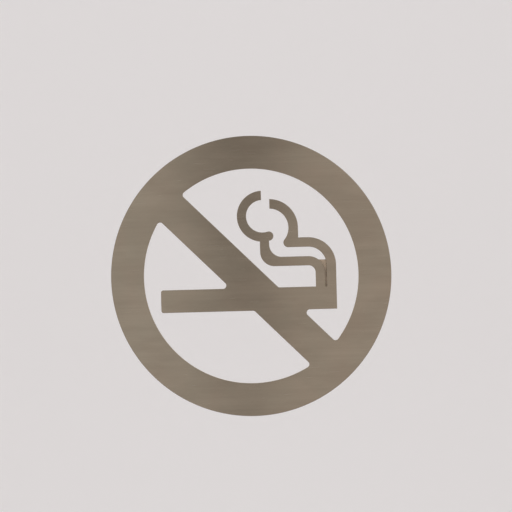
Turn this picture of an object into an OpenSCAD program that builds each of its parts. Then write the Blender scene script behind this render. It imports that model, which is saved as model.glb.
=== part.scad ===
// No smoking sign for a door: one sheet of brushed stainless steel, cut through so
// that a ring, a slanting bar, a cigarette and its two strips of smoke are left, and
// pieces of foam tape on the back that stick it to the door.
// It stands as it does on the door: +Z is up, the face looks along -Y, and the sticky
// faces of the tape lie in the plane y = 0. The origin is on the ring's axis.
// All lengths are in millimetres.

/* [Sheet] */
// Thickness of the steel sheet
sheet_t = 1.0; // [0.6:0.1:2]
// Radius left by the cutter in the corners where two parts of the sign meet
corner_r = 1.2; // [0.4:0.1:1.6]

/* [Ring] */
// Outside diameter of the ring
ring_d = 100; // [94:1:130]
// Width of the ring
ring_w = 11.7; // [10:0.1:14]

/* [Bar] */
// Width of the slanting bar
bar_w = 12; // [10:0.1:14]
// Slope of the bar, which falls from upper left to lower right, in degrees
bar_slope = 45; // [40:1:50]
// How far the bar's centreline passes below and to the left of the ring's centre
bar_offset = 2.25; // [0:0.05:3]

/* [Cigarette] */
// Length of the cigarette
cigarette_l = 62.7; // [56:0.1:66]
// Height of the cigarette
cigarette_h = 8.1; // [6:0.1:10]
// Distance of the burning end to the right of the ring's centre
cigarette_tip = 30.35; // [27:0.05:32]
// How far the cigarette's centreline lies below the ring's centre
cigarette_drop = 8.4; // [6:0.1:11]
// Radius of the two corners at the filter end
filter_corner_r = 0.8; // [0.3:0.1:2]

/* [Smoke] */
// Width of the inner strip of smoke
inner_strip_w = 3.3; // [2.5:0.1:4]
// Width of the outer strip of smoke
outer_strip_w = 3.4; // [2.5:0.1:4]
// Slit between the two strips where they stand on the cigarette
slit_w = 0.65; // [0.4:0.05:1]
// Clear height between the cigarette and the level run of the inner strip
pocket_h = 7.6; // [6:0.1:9]
// Gap between the level runs of the two strips
run_gap = 3.35; // [2:0.05:4]
// Outside radius of the outer strip's shoulder
shoulder_r = 9.85; // [9:0.05:11]
// Distance from the burning end back to the middle of the inner strip's riser
riser_back = 25.3; // [24:0.1:27]
// Height of the inner strip's riser, from the middle of the run to that of the curl
riser_h = 8.85; // [7.5:0.05:10]
// Radius on the outside of the bend between the inner strip's run and its riser
bend_outside_r = 5.1; // [4:0.1:6]
// Radius on the inside of that bend
bend_inside_r = 4.5; // [3:0.1:6]
// Radius of the inner strip's curl, along its middle
inner_curl_r = 7.45; // [6.5:0.05:8]
// How far the centre of the inner curl lies to the left of the riser's middle
inner_curl_shift = 0.55; // [0:0.05:1]
// Slope of the inner curl's rounded end below its centre, in degrees
inner_curl_end = 73.5; // [68:0.5:76]
// How far the inner curl's square end stops short of the top of the curl
inner_curl_cut = 0.3; // [0:0.1:1]
// Gap between the square ends of the two curls
curl_gap = 2.9; // [2:0.1:4]
// Radius of the outer strip's curl, along its middle
outer_curl_r = 8.55; // [8:0.05:9]
// Distance from the burning end back to the straight side of the outer curl
outer_curl_back = 13.25; // [13:0.05:14]
// Height of the outer curl's centre above the middle of the outer strip's run
outer_curl_rise = 5.4; // [5:0.05:6]

/* [Foam tape] */
// Thickness of the double-sided foam tape
tape_t = 1.0; // [0.5:0.1:2]
// Width of the tape on the ring and on the bar
tape_w = 8; // [5:0.5:8.5]
// Length of each of the four pieces on the ring
ring_tape_l = 20; // [12:1:21]
// Length of the piece on the bar
bar_tape_l = 44; // [30:1:60]
// Width of the narrow piece behind the burning end
tip_tape_w = 6; // [4:0.5:6.5]
// Length of the narrow piece behind the burning end
tip_tape_l = 16.5; // [12:0.5:17]
// How far the narrow piece stays inside the cigarette's lower edge
tip_tape_inset = 1.2; // [0.8:0.1:2]

/* [Hidden] */
$fn = 120;

// Ring and bar
ring_r = ring_d / 2;
window_r = ring_r - ring_w;
band_r = ring_r - ring_w / 2;
bar_normal = [sin(bar_slope), cos(bar_slope)];

// Cigarette
cigarette_top = -cigarette_drop + cigarette_h / 2;
cigarette_bottom = cigarette_top - cigarette_h;

// Smoke: both shoulders turn about one upright line, a slit apart
inner_half = inner_strip_w / 2;
outer_half = outer_strip_w / 2;
shoulder_x = cigarette_tip - shoulder_r;
inner_shoulder_r = shoulder_r - outer_strip_w - slit_w;
inner_run_z = cigarette_top + pocket_h + inner_half;
outer_run_z = inner_run_z + inner_half + run_gap + outer_half;
riser_x = cigarette_tip - riser_back;
inner_curl = [riser_x - inner_curl_shift, inner_run_z + riser_h + inner_curl_r];
outer_curl_side = cigarette_tip - outer_curl_back;
outer_curl = [outer_curl_side - outer_curl_r - outer_half, outer_run_z + outer_curl_rise];
inner_cut_x = inner_curl[0] - inner_curl_cut;
outer_cut_x = inner_cut_x + curl_gap;
// The outer strip's round foot lies on the middle line of its own curl
foot_x = outer_curl[0] + sqrt(outer_curl_r * outer_curl_r - outer_curl_rise * outer_curl_rise);

// Overlap with which shapes are laid into each other before they are joined
root = 0.6;
// How far the circle of a fillet or of a round end crosses both edges, so that it
// runs out cleanly
bite = 0.005;
// A length that leads past the outside of both curls
reach = 4 * outer_curl_r;

steel = [0.56, 0.48, 0.39];
foam = [0.90, 0.89, 0.86];

// Unit vector at an angle
function dir(a) = [cos(a), sin(a)];

// Where one edge of the bar, on its side 1 or -1, passes the height z
function bar_edge_at(side, z) =
    [(side * bar_w / 2 - bar_offset - z * bar_normal[1]) / bar_normal[0], z];

// Rectangle between two opposite corners
module box2(a, b) {
    polygon([a, [b[0], a[1]], b, [a[0], b[1]]]);
}

// Flat ring about a centre, from its middle radius and its width
module flat_ring(centre, middle_r, w) {
    translate(centre) difference() {
        circle(middle_r + w / 2);
        circle(middle_r - w / 2);
    }
}

// Fillet in a corner whose two edges leave it at the angles a1 and a2
module corner_fillet(corner, a1, a2, r) {
    half = (a2 - a1) / 2;
    middle = dir((a1 + a2) / 2);
    run = (r - bite) / tan(half);
    centre = corner + middle * (r - bite) / sin(half);
    difference() {
        polygon([corner - middle * root,
                 corner + dir(a1) * run + dir(a1 - 90) * root,
                 centre,
                 corner + dir(a2) * run + dir(a2 + 90) * root]);
        translate(centre) circle(r);
    }
}

// What comes off an outside corner to round it: inward is [1 or -1, 1 or -1], the
// way from the corner into the metal
module corner_cut(corner, inward, r) {
    centre = corner + r * inward;
    difference() {
        box2(corner - root * inward, centre);
        translate(centre) circle(r);
    }
}

// Fillet between the ring's inside and the bar, in the bar's own direction:
// side is 1 above the bar and -1 below it, and end is 1 or -1 along the bar
module ring_fillet(side, end) {
    edge = side * bar_w / 2 - bar_offset;
    centre_v = edge + side * (corner_r - bite);
    centre_r = window_r - corner_r + bite;
    centre_u = end * sqrt(centre_r * centre_r - centre_v * centre_v);
    centre = [centre_u, centre_v];
    difference() {
        polygon([[centre_u, edge - side * root],
                 centre,
                 centre * band_r / centre_r,
                 [end * band_r, edge - side * root]]);
        translate(centre) circle(corner_r);
    }
}

// One of the two windows between the ring and the bar, in the bar's own direction
module window(side) {
    edge = side * bar_w / 2 - bar_offset;
    difference() {
        intersection() {
            circle(window_r);
            translate([-ring_r, edge - (side < 0 ? ring_d : 0)]) square([ring_d, ring_d]);
        }
        for (end = [-1, 1]) ring_fillet(side, end);
    }
}

// The disc with its two windows, which leave the ring and the bar
module ring_and_bar_outline() {
    difference() {
        circle(ring_r);
        rotate(-bar_slope) for (side = [-1, 1]) window(side);
    }
}

// The cigarette, rounded at its filter end, and its four fillets against the bar
module cigarette_outline() {
    filter_end = cigarette_tip - cigarette_l;
    r = filter_corner_r;
    box2([filter_end + r, cigarette_bottom], [cigarette_tip, cigarette_top]);
    box2([filter_end, cigarette_bottom + r], [filter_end + 2 * r, cigarette_top - r]);
    for (z = [cigarette_bottom + r, cigarette_top - r]) translate([filter_end + r, z]) circle(r);
    corner_fillet(bar_edge_at(1, cigarette_bottom), -bar_slope, 0, corner_r);
    corner_fillet(bar_edge_at(1, cigarette_top), 0, 180 - bar_slope, corner_r);
    corner_fillet(bar_edge_at(-1, cigarette_top), 180 - bar_slope, 180, corner_r);
    corner_fillet(bar_edge_at(-1, cigarette_bottom), 180, 360 - bar_slope, corner_r);
}

// One strip of width w from the cigarette up its stem, round its shoulder and back
// along its run to end_x
module stem_and_run(run_z, outside_r, w, end_x) {
    right = shoulder_x + outside_r;
    top = run_z + w / 2;
    difference() {
        union() {
            box2([right - w, cigarette_top - root], [right, top]);
            box2([end_x, top - w], [right, top]);
        }
        corner_cut([right, top], [-1, -1], outside_r);
    }
    corner_fillet([right - w, top - w], 180, 270, outside_r - w);
}

// Inner strip: stem, shoulder, run, bend and riser, then an open curl with a
// square end at its top and a round end below
module inner_smoke() {
    left = riser_x - inner_half;
    right = riser_x + inner_half;
    bottom = inner_run_z - inner_half;
    curl_end = inner_curl + inner_curl_r * dir(-inner_curl_end);
    difference() {
        union() {
            stem_and_run(inner_run_z, inner_shoulder_r, inner_strip_w, left);
            box2([left, bottom], [right, inner_curl[1] - inner_curl_r]);
        }
        corner_cut([left, bottom], [1, 1], bend_outside_r);
    }
    corner_fillet([right, bottom + inner_strip_w], 0, 90, bend_inside_r);
    intersection() {
        flat_ring(inner_curl, inner_curl_r, inner_strip_w);
        polygon([inner_curl,
                 [inner_cut_x, inner_curl[1]],
                 [inner_cut_x, inner_curl[1] + reach],
                 inner_curl + [-reach, reach],
                 inner_curl + [-reach, -reach],
                 inner_curl + reach * dir(-inner_curl_end)]);
    }
    translate(curl_end) circle(inner_half + bite);
}

// Outer strip: stem, shoulder and run, then a curl with a straight outer side, a
// round foot below and a square end at its top
module outer_smoke() {
    foot = [foot_x, outer_run_z];
    side = [outer_curl_side, outer_curl[1]];
    stem_and_run(outer_run_z, shoulder_r, outer_strip_w, foot_x);
    translate(foot) circle(outer_half + bite);
    difference() {
        polygon([outer_curl, foot, [outer_curl_side, outer_run_z], side]);
        translate(outer_curl) circle(outer_curl_r - outer_half);
    }
    intersection() {
        flat_ring(outer_curl, outer_curl_r, outer_strip_w);
        box2([outer_cut_x, outer_curl[1] - root], outer_curl + [reach, reach]);
    }
}

module sign_outline() {
    ring_and_bar_outline();
    cigarette_outline();
    inner_smoke();
    outer_smoke();
}

// Stands a flat outline upright, from the depth y_front to y_back
module upright(y_front, y_back) {
    translate([0, y_back, 0]) rotate([90, 0, 0]) linear_extrude(y_back - y_front) children();
}

module sign_plate() {
    color(steel) upright(-tape_t - sheet_t, -tape_t) sign_outline();
}

// One straight cut of tape on the back of the sheet
module foam_tape(centre, angle, w, l) {
    color(foam) upright(-tape_t, 0) translate(centre) rotate(angle) square([w, l], center = true);
}

module ring_tape(angle) {
    foam_tape(band_r * dir(angle), angle, tape_w, ring_tape_l);
}

module bar_tape() {
    foam_tape(-bar_offset * bar_normal, 90 - bar_slope, tape_w, bar_tape_l);
}

module tip_tape() {
    centre = [cigarette_tip - outer_strip_w - slit_w / 2,
              cigarette_bottom + tip_tape_inset + tip_tape_l / 2];
    foam_tape(centre, 0, tip_tape_w, tip_tape_l);
}

sign_plate();
ring_tape(90);  // foam_tape_top
ring_tape(0);  // foam_tape_right
ring_tape(270);  // foam_tape_bottom
ring_tape(180);  // foam_tape_left
bar_tape();  // foam_tape_bar
tip_tape();  // foam_tape_tip
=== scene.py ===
"""No smoking sign for a door: a pictogram cut from brushed stainless steel sheet, with
foam tape on its back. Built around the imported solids, in metres, face towards -Y."""

import math

import bpy
import numpy as np
from mathutils import Matrix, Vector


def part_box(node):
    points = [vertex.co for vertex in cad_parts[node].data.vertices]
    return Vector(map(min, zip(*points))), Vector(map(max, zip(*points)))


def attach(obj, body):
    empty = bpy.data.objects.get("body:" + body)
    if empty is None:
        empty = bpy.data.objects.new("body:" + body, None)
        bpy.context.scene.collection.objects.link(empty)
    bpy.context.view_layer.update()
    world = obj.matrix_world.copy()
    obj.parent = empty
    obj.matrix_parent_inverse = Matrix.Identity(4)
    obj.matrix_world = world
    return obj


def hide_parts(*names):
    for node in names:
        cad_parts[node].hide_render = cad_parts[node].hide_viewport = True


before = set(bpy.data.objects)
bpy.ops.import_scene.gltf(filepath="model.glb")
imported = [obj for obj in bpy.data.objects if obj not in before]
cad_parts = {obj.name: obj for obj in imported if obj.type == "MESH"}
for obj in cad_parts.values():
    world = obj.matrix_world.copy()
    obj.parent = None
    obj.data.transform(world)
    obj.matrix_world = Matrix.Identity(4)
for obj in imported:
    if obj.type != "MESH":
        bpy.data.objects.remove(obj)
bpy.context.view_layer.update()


# The sign plate is one sheet of stainless steel, 1 mm thick, brushed level on its face and
# left as rolled on its back. The pictogram is cut right through it, and the edges of the cut
# are broken by a light rub, so that they catch a thin line of light.
MM = 0.001
EDGE_BREAK = 0.10 * MM
EDGE_STEPS = 4
SHARP_CORNER = math.radians(30)
POINT_STEP = 1e-5 * MM
CHORD_GAP = 0.05 * MM
FACING = 0.99
FACE, BACK, WALL = range(3)


def front_patch(node):
    """Points (x, z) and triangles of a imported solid's flat front. The solid's loose triangles
    whose normal, the cross product of two of their sides, faces -Y are kept, and their corners
    that coincide are counted as one point."""
    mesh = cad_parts[node].data
    places = np.empty(len(mesh.vertices) * 3)
    mesh.vertices.foreach_get("co", places)
    places = places.reshape(-1, 3)
    corners = np.empty(len(mesh.loops), int)
    mesh.loops.foreach_get("vertex_index", corners)
    corners = corners.reshape(-1, 3)
    first, second, third = (places[corners[:, i]] for i in range(3))
    normal = np.cross(second - first, third - first)
    in_front = -normal[:, 1] > FACING * np.linalg.norm(normal, axis=1)
    rounded = np.round(places[:, [0, 2]] / POINT_STEP).astype(int)
    points, kept = np.unique(rounded[corners[in_front]].reshape(-1, 2), axis=0,
                             return_inverse=True)
    return points * POINT_STEP, kept.reshape(-1, 3)


def rim_of(points, faces):
    """The rim of a flat patch: its points, the point that follows each one with the patch on
    the left, and the mitre of each. A side of a face is on the rim if no other face runs along
    it the other way. With n1 and n2 the inward normals of the two sides that meet in a point,
    its mitre is (n1 + n2) / (1 + n1 . n2), which moves both sides inward by the same length."""
    start = faces.ravel()
    end = np.roll(faces, -1, axis=1).ravel()
    count = len(points)
    single = ~np.isin(start * count + end, end * count + start)
    start, end = start[single], end[single]
    follow = np.empty(count, int)
    lead = np.empty(count, int)
    follow[start] = end
    lead[end] = start
    side = np.stack([points[start] - points[lead[start]], points[follow[start]] - points[start]])
    side /= np.linalg.norm(side, axis=2, keepdims=True)
    inward = np.stack([-side[..., 1], side[..., 0]], axis=-1)
    mitre = inward.sum(0) / (1 + (inward[0] * inward[1]).sum(1))[:, None]
    order = np.argsort(start)
    return start[order], follow, mitre[order]


def finer(points, faces):
    """The same patch with each arc of its rim in twice as many sides. A side whose ends turn by
    s and t, with s the smaller, is the chord of an arc of the angle b = min(t, 2 s), because
    the turn is halved where a straight side follows, and its middle moves out by half its
    length times tan(b / 4). A sharp corner counts as the turn at the side's other end, and a
    side that would move out by more than a chord's gap is straight."""
    rim, follow, _ = rim_of(points, faces)
    side = points[follow[rim]] - points[rim]
    length = np.linalg.norm(side, axis=1)
    column = np.empty(len(points), int)
    column[rim] = np.arange(len(rim))
    after = column[follow[rim]]
    across = side[:, 0] * side[after, 1] - side[:, 1] * side[after, 0]
    turn_end = np.arctan2(across, (side * side[after]).sum(1))
    turn_start = np.empty(len(rim))
    turn_start[after] = turn_end
    at_start = np.where(np.abs(turn_start) > SHARP_CORNER, turn_end, turn_start)
    at_end = np.where(np.abs(turn_end) > SHARP_CORNER, turn_start, turn_end)
    small, large = np.sort(np.abs([at_start, at_end]), axis=0)
    bend = np.minimum(large, 2 * small) * (at_start * at_end > 0)
    rise = length / 2 * np.tan(bend / 4)
    curved = (rise > 0) & (rise < CHORD_GAP)
    outward = np.stack([side[:, 1], -side[:, 0]], axis=1) / length[:, None]
    middle = points[rim] + side / 2 + (np.sign(at_start) * rise)[:, None] * outward
    total = len(points) + curved.sum()
    sides_cut = (rim * total + follow[rim])[curved]
    for first, second in [(0, 1), (1, 2), (2, 0)]:
        key = faces[:, first] * total + faces[:, second]
        found = np.searchsorted(sides_cut, key).clip(max=len(sides_cut) - 1)
        cut = sides_cut[found] == key
        near, far = faces[cut].copy(), faces[cut].copy()
        near[:, second] = far[:, first] = len(points) + found[cut]
        faces = np.concatenate([faces[~cut], near, far])
    return np.concatenate([points, middle[curved]]), faces


def slab(points, faces, insets, depths, relief=0.0):
    """Closed body over a flat patch: the patch in front, the same patch behind, and between
    them one row of rim points for each inset and depth. A rim point stands at p + inset * m,
    with m its mitre, and relief, in metres, is added to each row's inset, point by point."""
    rim, follow, mitre = rim_of(points, faces)
    rows, count, flat = len(insets), len(rim), len(points)
    inset = np.asarray(insets)[:, None] + relief * np.ones((rows, count))
    row_places = np.empty((rows, count, 3))
    row_places[..., [0, 2]] = points[rim] + inset[..., None] * mitre
    row_places[..., 1] = np.asarray(depths)[:, None]
    covers = np.empty((2, flat, 3))
    covers[..., [0, 2]] = points
    covers[..., 1] = np.array([depths[0], depths[-1]])[:, None]
    covers[0, rim] = row_places[0]
    covers[1, rim] = row_places[-1]
    places = np.concatenate([covers.reshape(-1, 3), row_places[1:-1].reshape(-1, 3)])
    index = 2 * flat + np.arange((rows - 2) * count).reshape(rows - 2, count)
    index = np.vstack([rim, index, rim + flat])
    column = np.empty(flat, int)
    column[rim] = np.arange(count)
    after = index[:, column[follow[rim]]]
    after[0], after[-1] = follow[rim], follow[rim] + flat
    sides = np.stack([index[:-1], index[1:], after[1:], after[:-1]], axis=-1).reshape(-1, 4)
    return places, faces, faces[:, ::-1] + flat, sides


def body(name, places, front, back, sides, finishes, side_finish):
    """Makes a mesh object of a slab, flat in front and behind and smooth round its rim. The
    finishes are those of its face, its back and its wall, and side_finish has the number of
    one of them for each face of the rim."""
    faces = [*front.tolist(), *back.tolist(), *sides.tolist()]
    mesh = bpy.data.meshes.new(name)
    mesh.from_pydata(places, [], faces)
    slots = np.concatenate([np.full(len(front), FACE), np.full(len(back), BACK), side_finish])
    mesh.polygons.foreach_set("material_index", slots)
    mesh.set_sharp_from_angle(angle=SHARP_CORNER)
    smooth = np.arange(len(faces)) >= len(front) + len(back)
    mesh.polygons.foreach_set("use_smooth", smooth)
    for finish in finishes:
        mesh.materials.append(finish)
    piece = bpy.data.objects.new(name, mesh)
    bpy.context.scene.collection.objects.link(piece)
    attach(piece, "root")
    return piece


NOISE_ROUGHNESS = 0.6


class Value:
    """A number, colour or vector in a finish's node tree. Sums and products of numbers add the
    Math nodes that work them out."""

    def __init__(self, tree, socket=None):
        self.tree = tree
        self.socket = socket

    def node(self, kind, settings, sockets, output=0):
        """Adds a node of that kind, with its settings and its sockets' values or links, and
        gives the output of that name or number."""
        made = self.tree.nodes.new("ShaderNode" + kind)
        for name, setting in settings.items():
            setattr(made, name, setting)
        for name, value in sockets.items():
            if isinstance(value, Value):
                self.tree.links.new(value.socket, made.inputs[name])
            else:
                made.inputs[name].default_value = value
        return Value(self.tree, made.outputs[output] if made.outputs else None)

    def math(self, operation, *terms):
        return self.node("Math", {"operation": operation}, dict(enumerate(terms)))

    def __add__(self, other):
        return self.math("ADD", self, other)

    def __mul__(self, other):
        return self.math("MULTIPLY", self, other)

    __radd__ = __add__
    __rmul__ = __mul__

    def noise(self, place, pitch, detail=2.0, start=(0.0, 0.0, 0.0)):
        """Noise from 0 to 1 with a pitch of its own, in metres, along X, Y and Z. The start, in
        pitches, says which stretch of the noise lies at the object's origin."""
        fit = {"Vector": place, "Scale": [1 / length for length in pitch], "Location": start}
        scaled = self.node("Mapping", {}, fit)
        return self.node("TexNoise", {}, {"Vector": scaled, "Scale": 1.0, "Detail": detail,
                                          "Roughness": NOISE_ROUGHNESS})

    def step(self, value, low, high):
        """0 below low and 1 above high, with a smooth run between them."""
        sockets = {"Value": value, "From Min": low, "From Max": high}
        return self.node("MapRange", {"interpolation_type": "SMOOTHSTEP"}, sockets)

    def blend(self, factor, first, second):
        """Colour from first, where factor is 0, to second, where it is 1. A Mix node's sockets
        6 and 7 and its output 2 are the ones for colours."""
        ends = [end if isinstance(end, Value) else (*end, 1.0) for end in (first, second)]
        sockets = {0: factor, 6: ends[0], 7: ends[1]}
        return self.node("Mix", {"data_type": "RGBA"}, sockets, output=2)

    def bump(self, height, distance):
        """A relief of height 0 to 1 times the distance, in metres."""
        return self.node("Bump", {}, {"Height": height, "Distance": distance, "Strength": 1.0})


def finish_of(name):
    """Starts a material with an empty tree. Gives a Value that adds nodes to the tree, the
    point's place on the object, and a function that ends the tree in one Principled shader
    and gives the material."""
    finish = bpy.data.materials.new(name)
    finish.use_nodes = True
    tree = finish.node_tree
    tree.nodes.clear()
    paint = Value(tree)
    place = paint.node("TexCoord", {}, {}, output="Object")

    def shade(sockets):
        shader = paint.node("BsdfPrincipled", {}, sockets)
        paint.node("OutputMaterial", {}, {"Surface": shader})
        return finish

    return paint, place, shade


CLOUD_START = (5.1, 0.0, 4.2)


def brushed_face():
    """Hairlines run level across the face, of three pitches laid over each other, and their
    grooves spread light up and down. Broad soft clouds, some a little browner and some a
    little greyer, lie under them, with a few short level scratches on top."""
    paint, place, shade = finish_of("brushed_face")
    hair = paint.noise(place, (18 * MM, 5 * MM, 0.07 * MM))
    strand = paint.noise(place, (30 * MM, 5 * MM, 0.35 * MM))
    streak = paint.noise(place, (50 * MM, 5 * MM, 1.8 * MM), detail=3.0)
    cloud = paint.noise(place, (26 * MM, 16 * MM, 9 * MM), detail=3.0, start=CLOUD_START)
    warmth = paint.noise(place, (9 * MM, 40 * MM, 13 * MM), detail=1.0)
    short = paint.noise(place, (7 * MM, 5 * MM, 0.16 * MM), detail=0.0)
    scratch = paint.step(short, 0.80, 0.86)
    grain = 0.45 * hair + 0.35 * strand + 0.2 * streak
    tone = (0.45 * paint.step(cloud, 0.35, 0.65) + 0.2 * paint.step(streak, 0.35, 0.65)
            + 0.2 * strand + 0.2 * paint.step(hair, 0.3, 0.7) + 0.5 * scratch)
    dark = paint.blend(warmth, (0.474, 0.431, 0.366), (0.504, 0.423, 0.358))
    light = paint.blend(warmth, (0.585, 0.536, 0.458), (0.615, 0.527, 0.450))
    return shade({
        "Base Color": paint.blend(tone, dark, light),
        "Metallic": 1.0,
        "Roughness": 0.19 + 0.07 * grain + 0.05 * scratch,
        "Anisotropic": 0.9,
        "Anisotropic Rotation": 0.25,
        "Normal": paint.bump(grain, 0.0016 * MM),
    })


def cut_wall():
    """The cut leaves fine ridges across the sheet's thickness, duller than the face."""
    paint, place, shade = finish_of("cut_wall")
    ridge = paint.noise(place, (0.12 * MM, 2 * MM, 0.12 * MM))
    patch = paint.noise(place, (1.5 * MM, 1 * MM, 1.5 * MM))
    colour = paint.blend(patch, (0.46, 0.40, 0.33), (0.66, 0.58, 0.49))
    return shade({
        "Base Color": colour,
        "Metallic": 1.0,
        "Roughness": 0.34 + 0.16 * patch,
        "Normal": paint.bump(ridge, 0.012 * MM),
    })


def rolled_back():
    """The back is left as it came from the mill: even, fine-grained and dull, with a few
    faint marks from handling."""
    paint, place, shade = finish_of("rolled_back")
    grain = paint.noise(place, (0.16 * MM, 0.16 * MM, 0.16 * MM), detail=3.0)
    cloud = paint.noise(place, (12 * MM, 12 * MM, 12 * MM), detail=3.0)
    rolling = paint.noise(place, (30 * MM, 5 * MM, 1.1 * MM))
    mark = paint.step(cloud, 0.56, 0.68)
    colour = paint.blend(0.6 * rolling + 0.4 * mark, (0.52, 0.50, 0.47), (0.64, 0.62, 0.59))
    return shade({
        "Base Color": colour,
        "Metallic": 1.0,
        "Roughness": 0.33 + 0.06 * grain + 0.08 * mark,
        "Normal": paint.bump(grain, 0.003 * MM),
    })


plate_low, plate_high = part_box("sign_plate")
quarter = np.linspace(0, math.pi / 2, EDGE_STEPS + 1)
broken_edge = EDGE_BREAK * (1 - np.sin(quarter))
edge_depth = EDGE_BREAK * (1 - np.cos(quarter))
plate_insets = np.concatenate([broken_edge, broken_edge[::-1]])
plate_depths = np.concatenate([plate_low.y + edge_depth, plate_high.y - edge_depth[::-1]])
outline = finer(*finer(*front_patch("sign_plate")))
sheet_parts = slab(*outline, plate_insets, plate_depths)
row_finish = np.full(len(plate_insets) - 1, WALL)
row_finish[:EDGE_STEPS] = FACE
side_finish = np.repeat(row_finish, len(sheet_parts[3]) // len(row_finish))
sign_sheet = body("sign_sheet", *sheet_parts, [brushed_face(), rolled_back(), cut_wall()],
                  side_finish)
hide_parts("sign_plate")


# Six straight cuts of double-sided foam tape stick the sign to the door. Each is a white
# closed-cell foam core between two thin films of adhesive, cut off a roll with a blade, so
# its sides show the cells and its back is smooth and sticky.
FILM = 0.06 * MM
FILM_EDGE = 0.02 * MM
FILM_OVERHANG = 0.03 * MM
FOAM_SINK = 0.05 * MM
CELL_RELIEF = 0.035 * MM
TAPE_CORNER = 0.25 * MM
TAPE_GRID = 0.5 * MM
FILM_ROWS = 3
FOAM_ROWS = 7
FOAM_CELL = 0.16 * MM


def foam_side():
    """Cut foam: small closed cells, opened by the blade, in matt white. The hollows of the opened
    cells are painted darker than their rims: painted shade. The broad patches are the foam's own
    uneven tone.
    """
    paint, place, shade = finish_of("foam_side")
    cells = paint.node("TexVoronoi", {"feature": "DISTANCE_TO_EDGE"},
                       {"Vector": place, "Scale": 1 / FOAM_CELL})
    # wall is 1 on the cell rims and 0 in the opened hollows. The colour below darkens the hollows
    # as painted shade.
    wall = paint.step(cells, 0.28, 0.0)
    patch = paint.noise(place, (1.2 * MM, 1.2 * MM, 1.2 * MM))
    colour = paint.blend(0.7 * wall + 0.3 * patch, (0.66, 0.655, 0.635), (0.87, 0.865, 0.85))
    return shade({
        "Base Color": colour,
        "Roughness": 0.75 + 0.2 * patch,
        "Specular IOR Level": 0.35,
        "Normal": paint.bump(wall, 0.03 * MM),
    })


def adhesive_film(name, low, high):
    """Acrylic adhesive on the foam: smooth, a little wavy, with a wet gloss broken by small
    dimples where the release paper was."""
    paint, place, shade = finish_of(name)
    wave = paint.noise(place, (3 * MM, 3 * MM, 3 * MM), detail=3.0)
    dimple = paint.step(paint.noise(place, (0.5 * MM, 0.5 * MM, 0.5 * MM), detail=1.0), 0.6, 0.75)
    colour = paint.blend(0.6 * wave + 0.4 * dimple, high, low)
    return shade({
        "Base Color": colour,
        "Roughness": 0.22 + 0.25 * wave + 0.15 * dimple,
        "Coat Weight": 0.35 + 0.3 * wave,
        "Normal": paint.bump(0.8 * wave + 0.2 * dimple, 0.05 * MM),
    })


# Painted shade: the film against the steel is a dark tan rather than the tape's white. It stands
# in for the shadow that falls deep in the narrow slit and the wedge between the smoke lines,
# where it shows through the cut.
FRONT_FILM_PAINTED_SHADE = adhesive_film("adhesive_painted_shade_against_steel", (0.48, 0.38, 0.28), (0.57, 0.45, 0.34))
BACK_FILM = adhesive_film("adhesive_film", (0.64, 0.63, 0.60), (0.74, 0.735, 0.71))
FOAM_FINISH = foam_side()


def tape_patch(length, width, centre, angle):
    """Grid of points over a rectangle, its corners pulled in to a small round. A point beyond
    both straight sides of a corner is moved towards the corner's own centre until it is no
    further from it than the corner's radius; the rectangle is then turned and moved to its
    centre."""
    across = np.linspace(-width / 2, width / 2, 2 + int(width / TAPE_GRID))
    along = np.linspace(-length / 2, length / 2, 2 + int(length / TAPE_GRID))
    u, v = (grid.ravel() for grid in np.meshgrid(along, across))
    points = np.stack([u, v], axis=1)
    corner = np.sign(points) * (np.array([length, width]) / 2 - TAPE_CORNER)
    beyond = points - corner
    reach = np.linalg.norm(beyond, axis=1)
    out = (np.abs(points) > np.abs(corner)).all(axis=1) & (reach > TAPE_CORNER)
    points[out] = corner[out] + beyond[out] * (TAPE_CORNER / reach[out])[:, None]
    cos, sin = math.cos(angle), math.sin(angle)
    points = points @ np.array([[cos, sin], [-sin, cos]]) + centre
    first = (np.arange(len(across) - 1)[:, None] * len(along) + np.arange(len(along) - 1)).ravel()
    faces = np.stack([first, first + 1, first + 1 + len(along), first + len(along)], axis=1)
    return points, faces


def foam_pad(node, length, width, angle, seed):
    """One cut of tape. Down its rim the two films stand out a little over the foam, which sinks
    in between them by a half sine and is roughened point by point."""
    low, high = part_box(node)
    centre = np.array([(low.x + high.x) / 2, (low.z + high.z) / 2])
    points, faces = tape_patch(length, width, centre, angle)
    foam = np.linspace(0, 1, FOAM_ROWS)
    insets = [FILM_EDGE, 0.0, 0.0, *(FILM_OVERHANG + FOAM_SINK * np.sin(math.pi * foam)),
              0.0, 0.0, FILM_EDGE]
    depths = [low.y, low.y + FILM / 3, low.y + FILM,
              *(low.y + FILM + foam * (high.y - low.y - 2 * FILM)),
              high.y - FILM, high.y - FILM / 3, high.y]
    rim = rim_of(points, faces)[0]
    relief = np.random.default_rng(seed).uniform(0, CELL_RELIEF, (len(insets), len(rim)))
    relief[:FILM_ROWS] = 0
    relief[-FILM_ROWS:] = 0
    parts = slab(points, faces, insets, depths, relief)
    row_finish = np.full(len(insets) - 1, WALL)
    row_finish[:FILM_ROWS - 1] = FACE
    row_finish[1 - FILM_ROWS:] = BACK
    side_finish = np.repeat(row_finish, len(rim))
    pad = body(node + "_pad", *parts, [FRONT_FILM_PAINTED_SHADE, BACK_FILM, FOAM_FINISH], side_finish)
    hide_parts(node)


def upright_size(node):
    """Length and width of a pad that lies level or upright."""
    low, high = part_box(node)
    return high.x - low.x, high.z - low.z


for seed, node in enumerate(["foam_tape_top", "foam_tape_bottom", "foam_tape_left",
                             "foam_tape_right", "foam_tape_tip"]):
    foam_pad(node, *upright_size(node), angle=0.0, seed=seed)
BAR_TAPE = (44 * MM, 8 * MM)
BAR_TAPE_TURN = math.radians(-45)
BAR_TAPE_SEED = 9
foam_pad("foam_tape_bar", *BAR_TAPE, angle=BAR_TAPE_TURN, seed=BAR_TAPE_SEED)


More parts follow.
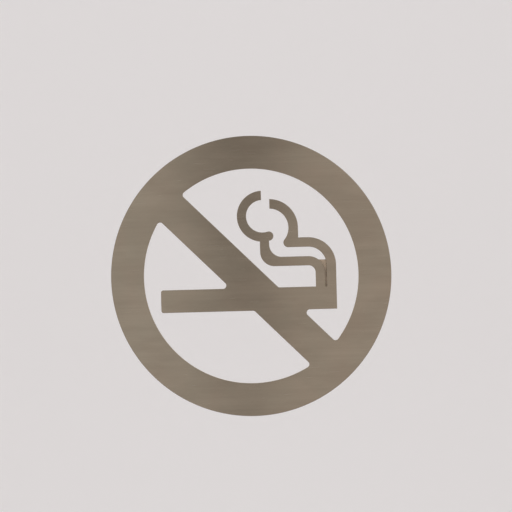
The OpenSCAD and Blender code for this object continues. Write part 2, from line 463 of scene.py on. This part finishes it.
# The room: a plain pale floor and backdrop in one sweep, far enough off to leave the back of
# the sign in view, and a camera square to the face, at the place and turn of the photograph.
PHOTO_SIDE = 512
PIXELS_PER_MM = 2.8038
RING_AT = (251.245, 275.952)
TURN = math.radians(1.5)
CAMERA_DISTANCE = 0.45
SENSOR = 36

right = np.array([math.cos(TURN), 0, -math.sin(TURN)])
up = np.array([math.sin(TURN), 0, math.cos(TURN)])
offset_right = (PHOTO_SIDE / 2 - RING_AT[0]) / PIXELS_PER_MM * MM
offset_up = (RING_AT[1] - PHOTO_SIDE / 2) / PIXELS_PER_MM * MM
eye = offset_right * right + offset_up * up
eye[1] = plate_low.y - CAMERA_DISTANCE
camera = bpy.data.objects.new("camera", bpy.data.cameras.new("camera"))
bpy.context.scene.collection.objects.link(camera)
camera.data.sensor_width = SENSOR
camera.data.lens = SENSOR * CAMERA_DISTANCE / (PHOTO_SIDE / PIXELS_PER_MM * MM)
turned = Matrix(np.stack([right, up, [0, -1, 0]], axis=1).tolist()).to_4x4()
turned.translation = eye
camera.matrix_world = turned
bpy.context.scene.camera = camera


PAPER = (0.93, 0.92, 0.93, 1.0)
BEND_STEPS = 24


def sweep_of_paper(width, floor_z, front_y, wall_y, top_z, bend):
    """Floor and wall in one sheet: the profile (y, z) runs level, turns up by a quarter circle
    of radius bend and goes on upright, and is carried along X for the width. The steel
    doesn't mirror it."""
    turn = np.linspace(0, math.pi / 2, BEND_STEPS + 1)
    y = np.concatenate([[front_y], wall_y - bend + bend * np.sin(turn), [wall_y]])
    z = np.concatenate([[floor_z], floor_z + bend - bend * np.cos(turn), [top_z]])
    x = np.array([-width / 2, width / 2])
    places = np.stack([np.repeat(x, len(y)), np.tile(y, 2), np.tile(z, 2)], axis=1)
    first = np.arange(len(y) - 1)
    faces = np.stack([first, first + len(y), first + len(y) + 1, first + 1], axis=1)
    mesh = bpy.data.meshes.new("backdrop")
    mesh.from_pydata(places, [], faces.tolist())
    mesh.shade_smooth()
    sheet = bpy.data.objects.new("backdrop", mesh)
    bpy.context.scene.collection.objects.link(sheet)
    _, _, shade = finish_of("backdrop_paper")
    sheet.data.materials.append(shade({"Base Color": PAPER, "Roughness": 0.9}))
    sheet.visible_glossy = False


sweep_of_paper(width=32.0, floor_z=-1.0, front_y=-16.0, wall_y=1.25, top_z=2.4, bend=0.9)


# Soft light: two tall panels, one on each side of the camera, which lean apart. The face shows
# the gap between them as a dim upright band that fades towards its foot. One wide light
# overhead is for the backdrop, and one behind the sign for its edges and its back.
def soft_light(name, place, target, size, radiance, lean=0.0):
    """A rectangular light that faces its target, leans over sideways by an angle and isn't
    seen itself. Its power is its radiance, red, green and blue, times its area and pi."""
    brightest = max(radiance)
    lamp = bpy.data.lights.new(name, "AREA")
    lamp.shape = "RECTANGLE"
    lamp.size, lamp.size_y = size
    lamp.energy = brightest * size[0] * size[1] * math.pi
    lamp.color = [part / brightest for part in radiance]
    light = bpy.data.objects.new(name, lamp)
    bpy.context.scene.collection.objects.link(light)
    way = np.array(target, float) - np.array(place, float)
    back = -way / np.linalg.norm(way)
    side = np.cross([0, 0, 1], back)
    side /= np.linalg.norm(side)
    turned = Matrix(np.stack([side, np.cross(back, side), back], axis=1).tolist()).to_4x4()
    turned = turned @ Matrix.Rotation(lean, 4, "Z")
    turned.translation = place
    light.matrix_world = turned
    light.visible_camera = False


PANEL = (1.0, 1.8)
PANEL_Y = -0.9
PANEL_LEAN = math.radians(7)
for name, way, gap_edge, radiance in [("panel_left", -1, -0.047, (0.244, 0.235, 0.215)),
                                      ("panel_right", 1, 0.021, (0.238, 0.218, 0.195))]:
    x = gap_edge + way * PANEL[0] / 2 / math.cos(PANEL_LEAN)
    soft_light(name, place=(x, PANEL_Y, 0), target=(x, 0, 0), size=PANEL, radiance=radiance,
               lean=-way * PANEL_LEAN)
soft_light("overhead", place=(0, 0.45, 1.5), target=(0, 0.9, 0), size=(3.0, 1.0),
           radiance=(0.30, 0.295, 0.295))
soft_light("behind", place=(0, 1.05, 0.45), target=(0, 0, 0.45), size=(3.2, 1.6),
           radiance=(0.60, 0.58, 0.56))

# Light from all round: paper and foam are lit by a pale room, and the steel mirrors a dimmer
# one. Past the far edge of the paper the camera sees the paper's own tone.
PALE = (0.69, 0.67, 0.66, 1.0)
DIM = (0.247, 0.225, 0.200, 1.0)
FAR = (0.612, 0.592, 0.592, 1.0)

world = bpy.data.worlds.new("room")
world.use_nodes = True
world.node_tree.nodes.clear()
sky = Value(world.node_tree)
pale = sky.node("Background", {}, {"Color": PALE, "Strength": 1.0})
dim = sky.node("Background", {}, {"Color": DIM, "Strength": 1.0})
mirrored = sky.node("LightPath", {}, {}, output="Is Glossy Ray")
glow = sky.node("MixShader", {}, {0: mirrored, 1: pale, 2: dim})
far = sky.node("Background", {}, {"Color": FAR, "Strength": 1.0})
seen = sky.node("LightPath", {}, {}, output="Is Camera Ray")
shown = sky.node("MixShader", {}, {0: seen, 1: glow, 2: far})
sky.node("OutputWorld", {}, {"Surface": shown})
bpy.context.scene.world = world
bpy.context.scene.view_settings.view_transform = "Standard"
